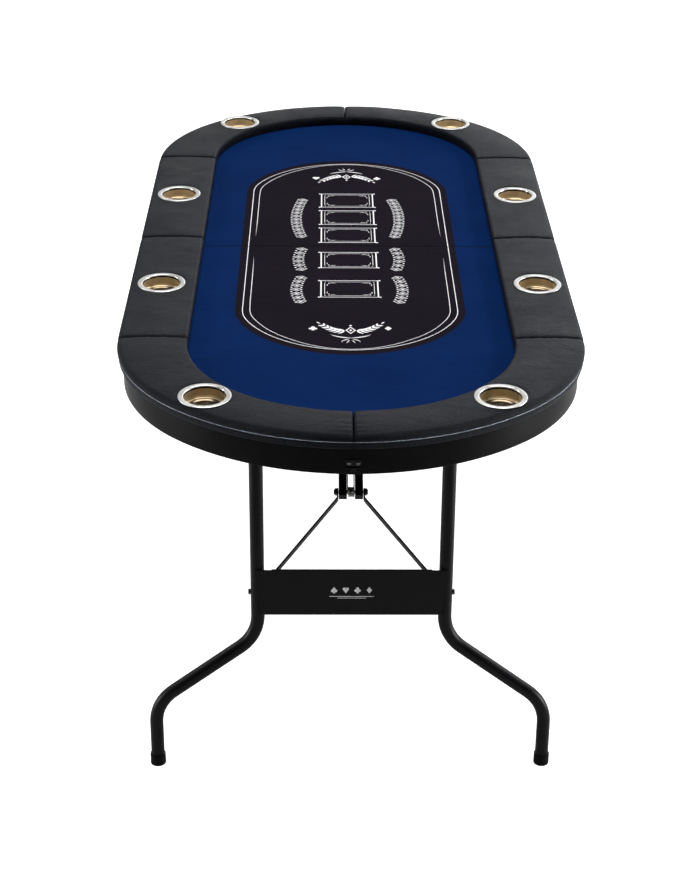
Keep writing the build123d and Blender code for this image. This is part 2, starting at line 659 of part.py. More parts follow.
def build_hardware():
    brackets = make_leg_brackets()
    add_both_halves("leg_brackets", Compound(children=brackets))
    add_both_halves("link_bracket", make_link_bracket())
    nodes["near_hinge_leaves"] = Compound(children=make_hinge_leaves(-1))
    nodes["far_hinge_leaves"] = Compound(children=make_hinge_leaves(1))
    nodes["fold_hinge_pins"] = Compound(children=make_hinge_pins())
    upward = [screw(*seat, (0, 0, 1)) for seat in deck_screws() + hinge_screws()]
    inward = [screw(*seat, (0, 1, 0)) for seat in latch_screws()]
    add_both_halves("screws", Compound(children=upward + inward))
    nodes["latch_plate"] = make_latch_plate()
    nodes["latch_lever"] = make_latch_lever()
    nodes["latch_keeper"] = make_latch_keeper()


def build_legs():
    add_both_halves("left_leg_tube", make_leg(-1))
    add_both_halves("right_leg_tube", make_leg(1))
    add_both_halves("pivot_rod", make_pivot_rod())
    add_both_halves("cross_plate", make_cross_plate())
    add_both_halves("foot_caps", Compound(children=make_foot_caps()))
    add_both_halves("brace_bolts", Compound(children=make_brace_bolts()))


def build_braces():
    add_both_halves("braces", Compound(children=make_braces()))
    add_both_halves("knuckle_nuts", Compound(children=make_knuckle_nuts()))
    add_both_halves("link_bars", Compound(children=make_link_bars()))
    add_both_halves("link_pins", Compound(children=make_link_pins()))
    add_both_halves("lock_spring", make_lock_spring())


def report_linkage():
    """The joint places and angles that fold the leg frame flat under the deck."""
    fold = 90 + LEG_TILT
    lift = degrees(asin((LINK_PIVOT.Y - KNUCKLE.Y) / LINK_LENGTH))
    print(f"leg bolt (y, z) {LEG_BOLT.X:.2f} {LEG_BOLT.Y:.2f}")
    print(f"brace {BRACE_LENGTH:.2f}, link {LINK_LENGTH:.2f}")
    print(f"knuckle (y, z) {KNUCKLE.X:.2f} {KNUCKLE.Y:.2f}, slope {BRACE_SLOPE:.3f}")
    print(f"leg fold {fold:.2f}, brace on leg {180 - BRACE_SLOPE - fold:.3f}, link {-lift:.3f}")


build_top()
build_hardware()
build_legs()
build_braces()
report_linkage()

os.makedirs("parts", exist_ok=True)
for name, shape in nodes.items():
    export_step(shape, f"parts/{name}.step")
print(len(nodes), "nodes")
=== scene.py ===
import json
import math

import bmesh
import bpy
import numpy as np
from mathutils import Matrix, Vector, noise
from mathutils.geometry import delaunay_2d_cdt


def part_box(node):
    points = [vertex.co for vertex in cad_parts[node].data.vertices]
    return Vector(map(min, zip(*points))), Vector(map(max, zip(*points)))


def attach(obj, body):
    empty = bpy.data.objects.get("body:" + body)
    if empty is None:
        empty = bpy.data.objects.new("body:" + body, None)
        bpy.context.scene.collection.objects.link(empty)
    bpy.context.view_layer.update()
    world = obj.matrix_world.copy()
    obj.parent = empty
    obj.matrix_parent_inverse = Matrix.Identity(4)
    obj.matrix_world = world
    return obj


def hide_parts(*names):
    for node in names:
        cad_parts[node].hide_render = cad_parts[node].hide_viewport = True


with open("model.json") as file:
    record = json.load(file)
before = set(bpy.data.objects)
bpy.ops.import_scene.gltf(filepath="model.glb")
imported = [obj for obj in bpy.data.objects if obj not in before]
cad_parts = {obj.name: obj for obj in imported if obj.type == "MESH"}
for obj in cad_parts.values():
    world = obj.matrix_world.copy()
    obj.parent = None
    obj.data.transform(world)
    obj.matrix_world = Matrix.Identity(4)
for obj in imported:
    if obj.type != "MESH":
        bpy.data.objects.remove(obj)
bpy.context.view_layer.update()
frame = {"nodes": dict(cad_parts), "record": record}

# ---- Measures, from the frame where it holds them (metres) ------------------------------------
HALVES = {"near": -1, "far": 1}
SIDES = {"left": -1, "right": 1}

side_low, side_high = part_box("near_left_side_cushion")
end_low, end_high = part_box("near_left_end_cushion")
cloth_low, cloth_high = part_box("near_felt")
skirt_low, skirt_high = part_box("near_skirt")
board_low, board_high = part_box("near_rail_boards")
CLOTH_TOP = cloth_high.z
CLOTH_BOTTOM = cloth_low.z
RAIL_TOP = board_high.z
RIM_BOTTOM = board_low.z
SKIRT_TOP = skirt_high.z
CUSHION_TOP = side_high.z
SKIRT_BOTTOM = skirt_low.z
LIP = side_high.x - cloth_low.x
SEAM_V = -(side_low.y + end_high.y) / 2
HALF_SEAM = (side_low.y - end_high.y) / 2
FOLD_V = -side_high.y

# Outlines: half width, half length, end of the straight side, corner radius.
OUTER = (-side_low.x, -end_low.y, 0.500, 0.390)
INNER = (-side_high.x, -cloth_low.y - LIP, 0.520, 0.285)
RIM_INSET = board_low.x - side_low.x
SKIRT_INSET = skirt_low.x - side_low.x
SKIRT_WALL = 0.006
CUP_HOLE = 0.0405
CUP_SEGMENTS = 96
LEG_TILT = 3.73
# The two seams that a cushion lies between, on a quarter outline.
SEAMS = {"side": (FOLD_V, SEAM_V - HALF_SEAM), "end": (SEAM_V + HALF_SEAM, "nose")}


def srgb(red, green, blue):
    """A colour given as 8-bit screen values, as the linear values that shaders take."""
    def linear(value):
        value = value / 255
        return value / 12.92 if value <= 0.04045 else ((value + 0.055) / 1.055) ** 2.4
    return (linear(red), linear(green), linear(blue), 1.0)


# ---- Materials ----------------------------------------------------------------------------------
def add(tree, kind, inputs=None, **settings):
    """Adds a node, with its settings and its inputs as values or links."""
    node = tree.nodes.new(kind)
    for key, value in settings.items():
        setattr(node, key, value)
    for key, value in (inputs or {}).items():
        if isinstance(value, bpy.types.NodeSocket):
            tree.links.new(value, node.inputs[key])
        else:
            node.inputs[key].default_value = value
    return node


def start_material(name, **sockets):
    """A material whose even values are set on its shader, and the object coordinates to work from."""
    material = bpy.data.materials.new(name)
    material.use_nodes = True
    tree = material.node_tree
    shader = tree.nodes["Principled BSDF"]
    for key, value in sockets.items():
        shader.inputs[key.replace("_", " ")].default_value = value
    place = add(tree, "ShaderNodeTexCoord").outputs["Object"]
    return material, tree, shader, place


def noise_at(tree, place, scale, detail=3.0, roughness=0.55):
    inputs = {"Vector": place, "Scale": scale, "Detail": detail, "Roughness": roughness}
    return add(tree, "ShaderNodeTexNoise", inputs).outputs["Fac"]


def spread(tree, value, low, high, from_low=0.3, from_high=0.7):
    inputs = {"Value": value, "From Min": from_low, "From Max": from_high, "To Min": low, "To Max": high}
    return add(tree, "ShaderNodeMapRange", inputs).outputs["Result"]


def mix_colours(tree, factor, first, second):
    node = add(tree, "ShaderNodeMix", data_type="RGBA")
    for socket, value in zip((node.inputs[0], node.inputs[6], node.inputs[7]), (factor, first, second)):
        if isinstance(value, bpy.types.NodeSocket):
            tree.links.new(value, socket)
        else:
            socket.default_value = value
    return node.outputs[2]


def maths(tree, operation, first, second=0.0):
    return add(tree, "ShaderNodeMath", {0: first, 1: second}, operation=operation).outputs[0]


def stretched(tree, place, scale):
    return add(tree, "ShaderNodeMapping", {"Vector": place, "Scale": scale}).outputs["Vector"]


def bump(tree, shader, height, distance, strength=1.0):
    inputs = {"Height": height, "Distance": distance, "Strength": strength}
    node = add(tree, "ShaderNodeBump", inputs)
    tree.links.new(node.outputs["Normal"], shader.inputs["Normal"])


def vinyl_material(name, dark, light, gloss, specular, ior=1.5):
    """Soft black vinyl: pebbled grain with fine creases darkened as painted shade, a little uneven in tone
    and gloss.
    """
    material, tree, shader, place = start_material(
        name, IOR=ior, Specular_IOR_Level=specular, Specular_Tint=(0.74, 0.82, 1.0, 1.0)
    )
    cells = add(
        tree, "ShaderNodeTexVoronoi", {"Vector": place, "Scale": 460.0, "Randomness": 0.9},
        feature="DISTANCE_TO_EDGE",
    ).outputs["Distance"]
    crease = spread(tree, cells, 0.0, 1.0, 0.0, 0.22)
    pores = noise_at(tree, place, 1000.0, 2.0)
    wrinkles = noise_at(tree, stretched(tree, place, (1.0, 1.8, 1.0)), 170.0, 4.0, 0.65)
    swells = noise_at(tree, place, 34.0, 3.0)
    patches = noise_at(tree, place, 9.0, 3.0)
    height = maths(tree, "ADD", maths(tree, "MULTIPLY", crease, 0.4), maths(tree, "MULTIPLY", pores, 0.25))
    height = maths(tree, "ADD", height, maths(tree, "MULTIPLY", wrinkles, 1.9))
    height = maths(tree, "ADD", height, maths(tree, "MULTIPLY", swells, 2.2))
    bump(tree, shader, height, 0.0011, 0.95)
    tone = mix_colours(tree, spread(tree, patches, 0.0, 1.0), dark, light)
    # Painted shade: the creases of the grain are darkened towards near black.
    tone = mix_colours(tree, maths(tree, "MULTIPLY", crease, 0.85), srgb(4, 4, 6), tone)
    tree.links.new(tone, shader.inputs["Base Color"])
    rough = spread(tree, patches, gloss, gloss + 0.1)
    rough = maths(tree, "ADD", rough, maths(tree, "MULTIPLY", pores, 0.06))
    tree.links.new(rough, shader.inputs["Roughness"])
    return material


def cloth_material(name, dark, light, fibre=0.5):
    """Short-nap playing cloth: a fine cross weave under loose fibres, with faint brushed streaks."""
    material, tree, shader, place = start_material(
        name, Roughness=0.92, Sheen_Weight=0.006, Sheen_Roughness=0.5, Specular_IOR_Level=0.02
    )
    warp = add(tree, "ShaderNodeTexWave", {"Vector": place, "Scale": 420.0, "Distortion": 0.6,
                                           "Detail": 1.0}, bands_direction="X").outputs["Fac"]
    weft = add(tree, "ShaderNodeTexWave", {"Vector": place, "Scale": 420.0, "Distortion": 0.6,
                                           "Detail": 1.0}, bands_direction="Y").outputs["Fac"]
    weave = maths(tree, "MULTIPLY", warp, weft)
    fuzz = noise_at(tree, place, 1500.0, 4.0, 0.7)
    streaks = noise_at(tree, stretched(tree, place, (3.0, 55.0, 1.0)), 5.0, 4.0, 0.6)
    patches = noise_at(tree, place, 5.0, 2.0)
    height = maths(tree, "ADD", maths(tree, "MULTIPLY", weave, 0.6), maths(tree, "MULTIPLY", fuzz, fibre))
    bump(tree, shader, height, 0.00025, 0.6)
    blend = maths(tree, "ADD", maths(tree, "MULTIPLY", streaks, 0.45), maths(tree, "MULTIPLY", fuzz, 0.35))
    blend = maths(tree, "ADD", blend, maths(tree, "MULTIPLY", patches, 0.35))
    tone = mix_colours(tree, spread(tree, blend, 0.0, 1.0, 0.35, 0.8), dark, light)
    tree.links.new(tone, shader.inputs["Base Color"])
    return material


def metal_material(name, dark, light, roughness, metallic):
    """Spun metal: rings of fine turning marks round the piece's own Z axis."""
    material, tree, shader, place = start_material(name, Metallic=metallic)
    parts = add(tree, "ShaderNodeSeparateXYZ", {"Vector": place}).outputs
    radius = maths(tree, "SQRT", maths(tree, "ADD", maths(tree, "MULTIPLY", parts["X"], parts["X"]),
                                       maths(tree, "MULTIPLY", parts["Y"], parts["Y"])))
    ringed = add(tree, "ShaderNodeCombineXYZ", {"X": radius, "Y": 0.0, "Z": parts["Z"]}).outputs["Vector"]
    marks = noise_at(tree, ringed, 2600.0, 3.0, 0.7)
    smudge = noise_at(tree, place, 45.0, 3.0)
    bump(tree, shader, marks, 0.00001, 0.2)
    tone = mix_colours(tree, spread(tree, smudge, 0.0, 1.0), dark, light)
    tree.links.new(tone, shader.inputs["Base Color"])
    rough = maths(tree, "ADD", spread(tree, smudge, roughness * 0.8, roughness * 1.25),
                  maths(tree, "MULTIPLY", marks, 0.05))
    tree.links.new(rough, shader.inputs["Roughness"])
    return material


def coated_material(name, dark, light, roughness, grain, depth, **sockets):
    """Moulded or powder-coated black: fine grain, a little uneven in tone and gloss."""
    material, tree, shader, place = start_material(name, **sockets)
    fine = noise_at(tree, place, grain, 3.0, 0.6)
    broad = noise_at(tree, place, 14.0, 4.0, 0.6)
    bump(tree, shader, fine, depth, 0.5)
    tone = mix_colours(tree, spread(tree, broad, 0.0, 1.0), dark, light)
    tree.links.new(tone, shader.inputs["Base Color"])
    rough = maths(tree, "ADD", spread(tree, broad, roughness * 0.88, roughness * 1.12),
                  maths(tree, "MULTIPLY", maths(tree, "SUBTRACT", fine, 0.5), 0.12))
    tree.links.new(rough, shader.inputs["Roughness"])
    return material


def board_material():
    """Dark-stained fibreboard, with pressed fibres and flecks."""
    material, tree, shader, place = start_material("board", Specular_IOR_Level=0.08)
    fibres = noise_at(tree, stretched(tree, place, (1.0, 3.0, 3.0)), 260.0, 5.0, 0.7)
    flecks = noise_at(tree, place, 700.0, 2.0)
    broad = noise_at(tree, place, 6.0, 4.0)
    bump(tree, shader, fibres, 0.0002, 0.5)
    tone = mix_colours(tree, spread(tree, fibres, 0.0, 1.0), srgb(15, 14, 13), srgb(24, 22, 20))
    tone = mix_colours(tree, spread(tree, flecks, 0.0, 0.6, 0.55, 0.75), tone, srgb(9, 8, 8))
    tone = mix_colours(tree, spread(tree, broad, 0.0, 0.4), tone, srgb(13, 12, 11))
    tree.links.new(tone, shader.inputs["Base Color"])
    tree.links.new(spread(tree, fibres, 0.65, 0.85), shader.inputs["Roughness"])
    return material


def zinc_material():
    """Bright zinc-plated steel, faintly mottled."""
    material, tree, shader, place = start_material("bright_steel", Metallic=1.0)
    spangle = add(tree, "ShaderNodeTexVoronoi", {"Vector": place, "Scale": 420.0}).outputs["Distance"]
    broad = noise_at(tree, place, 120.0, 3.0)
    bump(tree, shader, broad, 0.00004, 0.4)
    mottle = spread(tree, spangle, 0.0, 1.0, 0.1, 0.8)
    tone = mix_colours(tree, mottle, srgb(122, 121, 118), srgb(172, 170, 165))
    tree.links.new(tone, shader.inputs["Base Color"])
    tree.links.new(spread(tree, broad, 0.18, 0.32), shader.inputs["Roughness"])
    return material


MATERIALS = {
    "rail_vinyl": vinyl_material("rail_vinyl", srgb(9, 11, 16), srgb(17, 20, 28), 0.38, 0.115),
    # The welt's vinyl is glossier than the rail's, and its tone is lighter as a painted highlight along the
    # piping.
    "welt_vinyl_painted_highlight": vinyl_material("welt_vinyl_painted_highlight", srgb(40, 41, 46), srgb(62, 63, 68), 0.14, 1.0, 2.3),
    "playing_cloth": cloth_material("playing_cloth", srgb(2, 25, 66), srgb(5, 37, 86)),
    "print_dark": cloth_material("print_dark", srgb(18, 14, 22), srgb(27, 22, 31)),
    "print_white": cloth_material("print_white", srgb(232, 232, 236), srgb(252, 252, 252), 0.3),
    "flange_metal": metal_material("flange_metal", srgb(224, 223, 219), srgb(240, 239, 235), 0.28, 0.75),
    "well_metal": metal_material("well_metal", srgb(214, 190, 148), srgb(236, 216, 178), 0.28, 0.62),
    # The cup floor's metal is darker than the well's, as painted shade at the bottom of the cup.
    "floor_metal_painted_shade": metal_material("floor_metal_painted_shade", srgb(104, 90, 72), srgb(132, 118, 98), 0.16, 1.0),
    "skirt": coated_material(
        "skirt", srgb(10, 10, 12), srgb(15, 15, 17), 0.36, 420.0, 0.00008, Specular_IOR_Level=0.045
    ),
    "leg_paint": coated_material(
        "leg_paint", srgb(4, 4, 6), srgb(9, 9, 12), 0.36, 1100.0, 0.00006, Specular_IOR_Level=0.12
    ),
    "foot_rubber": coated_material(
        "foot_rubber", srgb(5, 5, 6), srgb(12, 12, 12), 0.7, 1600.0, 0.0001, Specular_IOR_Level=0.1
    ),
    "black_steel": coated_material(
        "black_steel", srgb(5, 5, 6), srgb(10, 10, 11), 0.30, 900.0, 0.00005, Specular_IOR_Level=0.14
    ),
    "black_zinc": coated_material(
        "black_zinc", srgb(20, 20, 22), srgb(36, 36, 38), 0.16, 900.0, 0.00004, Specular_IOR_Level=1.0
    ),
    "bracket_steel": coated_material(
        "bracket_steel", srgb(14, 14, 15), srgb(24, 24, 25), 0.42, 900.0, 0.00006, Specular_IOR_Level=0.3
    ),
    "board": board_material(),
    "bright_steel": zinc_material(),
}


# ---- Outlines -----------------------------------------------------------------------------------
# Outlines are worked out in one quarter, as (x, v) with v the distance from the fold, and mirrored.
def quarter(outline, inset=0.0, step=0.004):
    """A quarter of an outline, from the fold at V = 0 round to the nose, as close-set (x, v) points."""
    half_width, half_length, side_end, corner = outline
    rise = half_length - side_end
    nose = (half_width**2 + rise**2 - 2 * half_width * corner) / (2 * (rise - corner))
    corner_x = half_width - corner
    nose_v = half_length - nose
    turn = math.atan2(side_end - nose_v, corner_x)
    straight = np.arange(0, side_end, step)
    corner_angles = np.linspace(0, turn, max(8, int(corner * turn / step)))
    nose_angles = np.linspace(turn, math.pi / 2, max(8, int(nose * (math.pi / 2 - turn) / step)))[1:]
    side = np.column_stack([np.full(len(straight), half_width - inset), straight])
    bend = (corner - inset) * np.column_stack([np.cos(corner_angles), np.sin(corner_angles)])
    tip = (nose - inset) * np.column_stack([np.cos(nose_angles), np.sin(nose_angles)])
    return np.vstack([side, bend + (corner_x, side_end), tip + (0, nose_v)])


def lengths_along(points):
    return np.concatenate([[0], np.cumsum(np.linalg.norm(np.diff(points, axis=0), axis=1))])


def at_lengths(points, lengths):
    along = lengths_along(points)
    return np.column_stack([np.interp(lengths, along, points[:, i]) for i in (0, 1)])


def stretch_between(points, seams):
    """Where, along a quarter outline, a piece starts and ends between two seams (V values or 'nose')."""
    along = lengths_along(points)
    start = np.interp(seams[0], points[:, 1], along)
    end = along[-1] - HALF_SEAM if seams[1] == "nose" else np.interp(seams[1], points[:, 1], along)
    return start, end


# ---- Mesh helpers ---------------------------------------------------------------------------------
def make_object(name, vertices, faces, materials):
    mesh = bpy.data.meshes.new(name)
    mesh.from_pydata([tuple(v) for v in vertices], [], faces)
    for material in materials:
        mesh.materials.append(MATERIALS[material])
    mesh.validate()
    bm = bmesh.new()
    bm.from_mesh(mesh)
    bmesh.ops.recalc_face_normals(bm, faces=bm.faces)
    bm.to_mesh(mesh)
    bm.free()
    mesh.polygons.foreach_set("use_smooth", [True] * len(mesh.polygons))
    obj = bpy.data.objects.new(name, mesh)
    bpy.context.scene.collection.objects.link(obj)
    return obj


def loft(rings):
    """Vertices and faces of a closed skin over rings of the same number of points."""
    count = len(rings[0])
    vertices = np.vstack(rings)
    faces = []
    for i in range(len(rings) - 1):
        for j in range(count):
            k = (j + 1) % count
            faces.append((i * count + j, i * count + k, (i + 1) * count + k, (i + 1) * count + j))
    faces.append(tuple(range(count))[::-1])
    faces.append(tuple(range((len(rings) - 1) * count, len(rings) * count)))
    return vertices, faces


def tube_rings(path, radius, segments):
    """Circles of a round tube along a path of (x, y, z) points, kept level in the XY plane."""
    path = np.asarray(path, float)
    ahead = np.gradient(path, axis=0)
    ahead /= np.linalg.norm(ahead, axis=1)[:, None]
    across = np.cross(ahead, (0, 0, 1))
    across /= np.linalg.norm(across, axis=1)[:, None]
    over = np.cross(across, ahead)
    turns = np.linspace(0, 2 * math.pi, segments, endpoint=False)
    radii = np.broadcast_to(radius, len(path))
    return [
        path[i] + radii[i] * (np.cos(turns)[:, None] * across[i] + np.sin(turns)[:, None] * over[i])
        for i in range(len(path))
    ]


def apply_modifiers(obj):
    graph = bpy.context.evaluated_depsgraph_get()
    mesh = bpy.data.meshes.new_from_object(obj.evaluated_get(graph))
    obj.modifiers.clear()
    obj.data = mesh


def crease_by_angle(obj, degrees):
    """Sharp shading where faces meet at more than an angle, smooth elsewhere."""
    bm = bmesh.new()
    bm.from_mesh(obj.data)
    for edge in bm.edges:
        edge.smooth = len(edge.link_faces) == 2 and edge.calc_face_angle(0) < math.radians(degrees)
    bm.to_mesh(obj.data)
    bm.free()


# ---- Padded rail ----------------------------------------------------------------------------------
INNER_ROLL = 0.006
OUTER_ROLL = 0.011
SHOULDER_DROP = 0.0008
CROWN = 0.0022
GROOVE = 0.0062
GROOVE_REACH = 0.0019
PULL = 0.0013
PULL_REACH = 0.018
WOBBLE = 0.0005
WOBBLE_SCALE = 16
PUCKER = 0.0006
PUCKER_REACH = 0.022
PRESS_REACH = 0.016
PRESS_RISE = 0.0030
SEAM_PULL_IN = 0.0014
WELT_RADIUS = 0.0014
WELT_INSET = 0.0016
GATHER = 0.0011
GATHER_PITCH = 190
OUTLINE_STEP = 0.002
SEAM_ROWS = (0, 0.0006, 0.0014, 0.0026, 0.0042, 0.0064, 0.0095, 0.0135, 0.0185)


def cushion_profile(width):
    """Cross-section of a cushion, as (distance from the inner edge, height, how far up the padding)."""
    top = CUSHION_TOP - SHOULDER_DROP
    roll = np.linspace(0, math.pi / 2, 8)
    points = [(LIP - 0.0002, CLOTH_TOP + 0.0002, 0), (0.0018, CLOTH_TOP + 0.0002, 0)]
    points += [(0.0002, CLOTH_TOP + 0.0009, 0.05)]
    wall = np.linspace(CLOTH_TOP + 0.003, top - INNER_ROLL, 5)
    swell = np.sin(np.linspace(0.3, math.pi * 0.75, 5)) * 0.0011
    points += [(-s, z, 0.3) for s, z in zip(swell, wall)]
    points += [(INNER_ROLL * (1 - math.cos(a)) - 0.0007 * math.cos(a),
                top - INNER_ROLL + INNER_ROLL * math.sin(a), 0.5 + 0.5 * math.sin(a)) for a in roll]
    flat = width - OUTER_ROLL - INNER_ROLL
    for part in np.linspace(0, 1, 25)[1:-1]:
        dome = 1 - abs(2 * part - 1) ** 2.4
        points.append((INNER_ROLL + flat * part, top + CROWN * dome, 1.0))
    points += [(width - OUTER_ROLL * (1 - math.cos(a)), top - OUTER_ROLL + OUTER_ROLL * math.sin(a),
                0.4 + 0.6 * math.sin(a)) for a in roll[::-1]]
    points += [(width - 0.0003, RAIL_TOP + 0.0024, 0.2), (width - 0.0012, RAIL_TOP + 0.0007, 0.0)]
    points += [(width - 0.003, RAIL_TOP + 0.0001, 0.0)]
    points += [(x, RAIL_TOP + 0.0001, 0) for x in np.linspace(width - 0.012, LIP + 0.004, 6)]
    points += [(LIP - 0.0002, RAIL_TOP - 0.0006, 0)]
    return np.array(points)


def seam_rows(total, step=0.006):
    """Distances of the rows along a cushion: close together at the seams, one step between."""
    reach = SEAM_ROWS[-1]
    middle = np.linspace(reach, total - reach, int((total - 2 * reach) / step) + 1)
    return np.concatenate([SEAM_ROWS, middle[1:-1], total - np.array(SEAM_ROWS[::-1])])


def make_cushion(half, side, kind):
    name = f"{half}_{side}_{kind}_cushion"
    cup_low, cup_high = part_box(f"{half}_{side}_{kind}_cup")
    cup = np.array(((cup_low + cup_high) / 2)[:2])
    flange = (cup_high.x - cup_low.x) / 2
    seams = SEAMS[kind]
    outer, inner = quarter(OUTER, step=OUTLINE_STEP), quarter(INNER, step=OUTLINE_STEP)
    outer_span, inner_span = stretch_between(outer, seams), stretch_between(inner, seams)
    total = outer_span[1] - outer_span[0]
    rows = seam_rows(total)
    outer_points = at_lengths(outer, outer_span[0] + rows)
    inner_points = at_lengths(inner, inner_span[0] + rows / total * (inner_span[1] - inner_span[0]))
    mirror = np.array([SIDES[side], HALVES[half]])
    rings = []
    for row, out_point, in_point in zip(rows, outer_points, inner_points):
        reach = out_point - in_point
        width = np.linalg.norm(reach)
        profile = cushion_profile(width)
        seam = min(row, total - row)
        groove = GROOVE * math.exp(-seam / GROOVE_REACH) + PULL * math.exp(-seam / PULL_REACH)
        pucker = PUCKER * math.exp(-seam / PUCKER_REACH)
        ring = []
        for from_inner, height, padding in profile:
            flat = (in_point + reach / width * from_inner) * mirror
            place = Vector((flat[0] * WOBBLE_SCALE, flat[1] * WOBBLE_SCALE, 3.7))
            wobble = noise.noise(place) * WOBBLE
            fold = math.sin(from_inner * 330 + 1.7 * math.sin(from_inner * 90)) * pucker
            height += padding * (wobble + fold - groove)
            if from_inner > width - 0.006 and padding > 0:
                flat = flat - reach / width * mirror * SEAM_PULL_IN * math.exp(-seam / 0.006)
            if padding == 1.0:
                gap = np.linalg.norm(flat - cup) - flange
                pressed = min(1.0, max(0.0, gap / PRESS_REACH))
                pressed = pressed * pressed * (3 - 2 * pressed)
                height = min(height, CUSHION_TOP - 0.0002 + PRESS_RISE * pressed)
            ring.append((flat[0], flat[1], height))
        rings.append(np.array(ring))
    vertices, faces = loft(rings)
    obj = make_object(name + "_padded", vertices, faces, ["rail_vinyl"])
    cut_cup_hole(obj, cup)
    crease_by_angle(obj, 50)
    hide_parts(name)
    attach(obj, f"{half}_half")


def cut_cup_hole(obj, centre):
    """Cuts the round hole that a cup drops into."""
    bpy.ops.mesh.primitive_cylinder_add(
        vertices=CUP_SEGMENTS, radius=CUP_HOLE, depth=0.2, location=(centre[0], centre[1], CUSHION_TOP)
    )
    cutter = bpy.context.object
    boolean = obj.modifiers.new("cup_hole", "BOOLEAN")
    boolean.operation = "DIFFERENCE"
    boolean.solver = "EXACT"
    boolean.object = cutter
    apply_modifiers(obj)
    bpy.data.objects.remove(cutter)


def make_welt(half, side, kind):
    """The thin piping sewn round the lower outer edge of a cushion."""
    seams = SEAMS[kind]
    line = quarter(OUTER, WELT_INSET, OUTLINE_STEP)
    start, end = stretch_between(line, seams)
    rows = seam_rows(end - start)
    points = at_lengths(line, start + rows) * (SIDES[side], HALVES[half])
    path = np.column_stack([points, np.full(len(points), RAIL_TOP + 0.0012)])
    pinch = np.minimum(rows, rows[-1] - rows)
    radius = WELT_RADIUS * (1 - 0.45 * np.exp(-pinch / 0.003))
    vertices, faces = loft(tube_rings(path, radius, 10))
    # The piping's lighter tone is a painted highlight.
    obj = make_object(f"{half}_{side}_{kind}_welt", vertices, faces, ["welt_vinyl_painted_highlight"])
    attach(obj, f"{half}_half")


def make_rim_wrap(half, side, kind):
    """The vinyl that wraps the rim under the welt, gathered a little where it turns under."""
    outer = quarter(OUTER, RIM_INSET - 0.0006, OUTLINE_STEP)
    inner = quarter(OUTER, RIM_INSET + 0.0030, OUTLINE_STEP)
    seams = SEAMS[kind]
    outer_span, inner_span = stretch_between(outer, seams), stretch_between(inner, seams)
    total = outer_span[1] - outer_span[0]
    rows = seam_rows(total, 0.0025)
    outer_points = at_lengths(outer, outer_span[0] + rows)
    inner_points = at_lengths(inner, inner_span[0] + rows / total * (inner_span[1] - inner_span[0]))
    mirror = np.array([SIDES[side], HALVES[half]])
    tall = RAIL_TOP - RIM_BOTTOM
    section = [(0.17, RAIL_TOP - 0.0001), (-0.05, RAIL_TOP - 0.0012), (-0.12, RAIL_TOP - 0.3 * tall)]
    section += [(-0.10, RAIL_TOP - 0.55 * tall), (-0.04, RAIL_TOP - 0.8 * tall), (0.0, RIM_BOTTOM + 0.0016)]
    section += [(0.10, RIM_BOTTOM + 0.0002), (0.35, RIM_BOTTOM - 0.0006), (1.0, RIM_BOTTOM - 0.0006)]
    section += [(1.0, RIM_BOTTOM - 0.0001), (0.17, RIM_BOTTOM - 0.0001), (0.17, RIM_BOTTOM + 0.002)]
    rings = []
    for row, out_point, in_point in zip(rows, outer_points, inner_points):
        reach = in_point - out_point
        length = np.linalg.norm(reach)
        seam = min(row, total - row)
        ring = []
        for share, height in section:
            low = max(0.0, (RAIL_TOP - 0.35 * tall - height) / tall)
            place = Vector((row * GATHER_PITCH + 40 * SIDES[side], low * 2, 5.1 + HALVES[half]))
            gather = noise.noise(place) * GATHER * low
            pinch = 0.0008 * math.exp(-seam / 0.004)
            shift = share * length + (0 if share > 0.15 else pinch - gather)
            flat = (out_point + reach / length * shift) * mirror
            ring.append((flat[0], flat[1], height))
        rings.append(np.array(ring))
    vertices, faces = loft(rings)
    obj = make_object(f"{half}_{side}_{kind}_rim_wrap", vertices, faces, ["rail_vinyl"])
    crease_by_angle(obj, 60)
    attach(obj, f"{half}_half")


def make_rail():
    for half in HALVES:
        for side in SIDES:
            for kind in ("side", "end"):
                make_cushion(half, side, kind)
                make_welt(half, side, kind)
                make_rim_wrap(half, side, kind)


# ---- Playing cloth, with its printed layout -----------------------------------------------------------
# The layout is drawn for one half as closed loops of (x, v), each painted over the ones before it.
LAYOUT = (0.235, 0.545, 0.335, 0.150)
RING = (0.220, 0.525, 0.335, 0.135)
CLOTH_FOLD_V = FOLD_V + 0.0014
CLOTH_ROLL = 0.0008
CLOTH_RIPPLE = 0.00012
CLOTH_GRID = 0.0155
CLOTH_REACH = 0.31
LOOP_STEP = 0.012
INNER_LINE_START = 0.055
INNER_LINE_TAPER = 0.09
EMBLEM_V = 0.424
FOLD_ROWS = (0.0, 0.0008, 0.0018, 0.0032, 0.006)
LINE = 0.0016


def half_loop(outline, inset=0.0):
    """An outline's half, closed along the fold."""
    points = quarter(outline, inset, LOOP_STEP)
    side = [(points[0][0], CLOTH_FOLD_V + row) for row in FOLD_ROWS]
    right = side + [tuple(p) for p in points if p[1] > FOLD_ROWS[-1] * 2]
    left = [(-x, v) for x, v in right[::-1] if x > 1e-6]
    return right + left


def circle(x, v, radius, count=14):
    turns = np.linspace(0, 2 * math.pi, count, endpoint=False)
    return [(x + radius * math.cos(a), v + radius * math.sin(a)) for a in turns]


def rectangle(x, v, half_x, half_v):
    corners = [(-1, -1), (1, -1), (1, 1), (-1, 1)]
    return [(x + a * half_x, v + b * half_v) for a, b in corners]


def lozenge(x, v, half_x, half_v, lean=0.0):
    corners = [(half_x, 0), (0, half_v), (-half_x, 0), (0, -half_v)]
    c, s = math.cos(lean), math.sin(lean)
    return [(x + a * c - b * s, v + a * s + b * c) for a, b in corners]


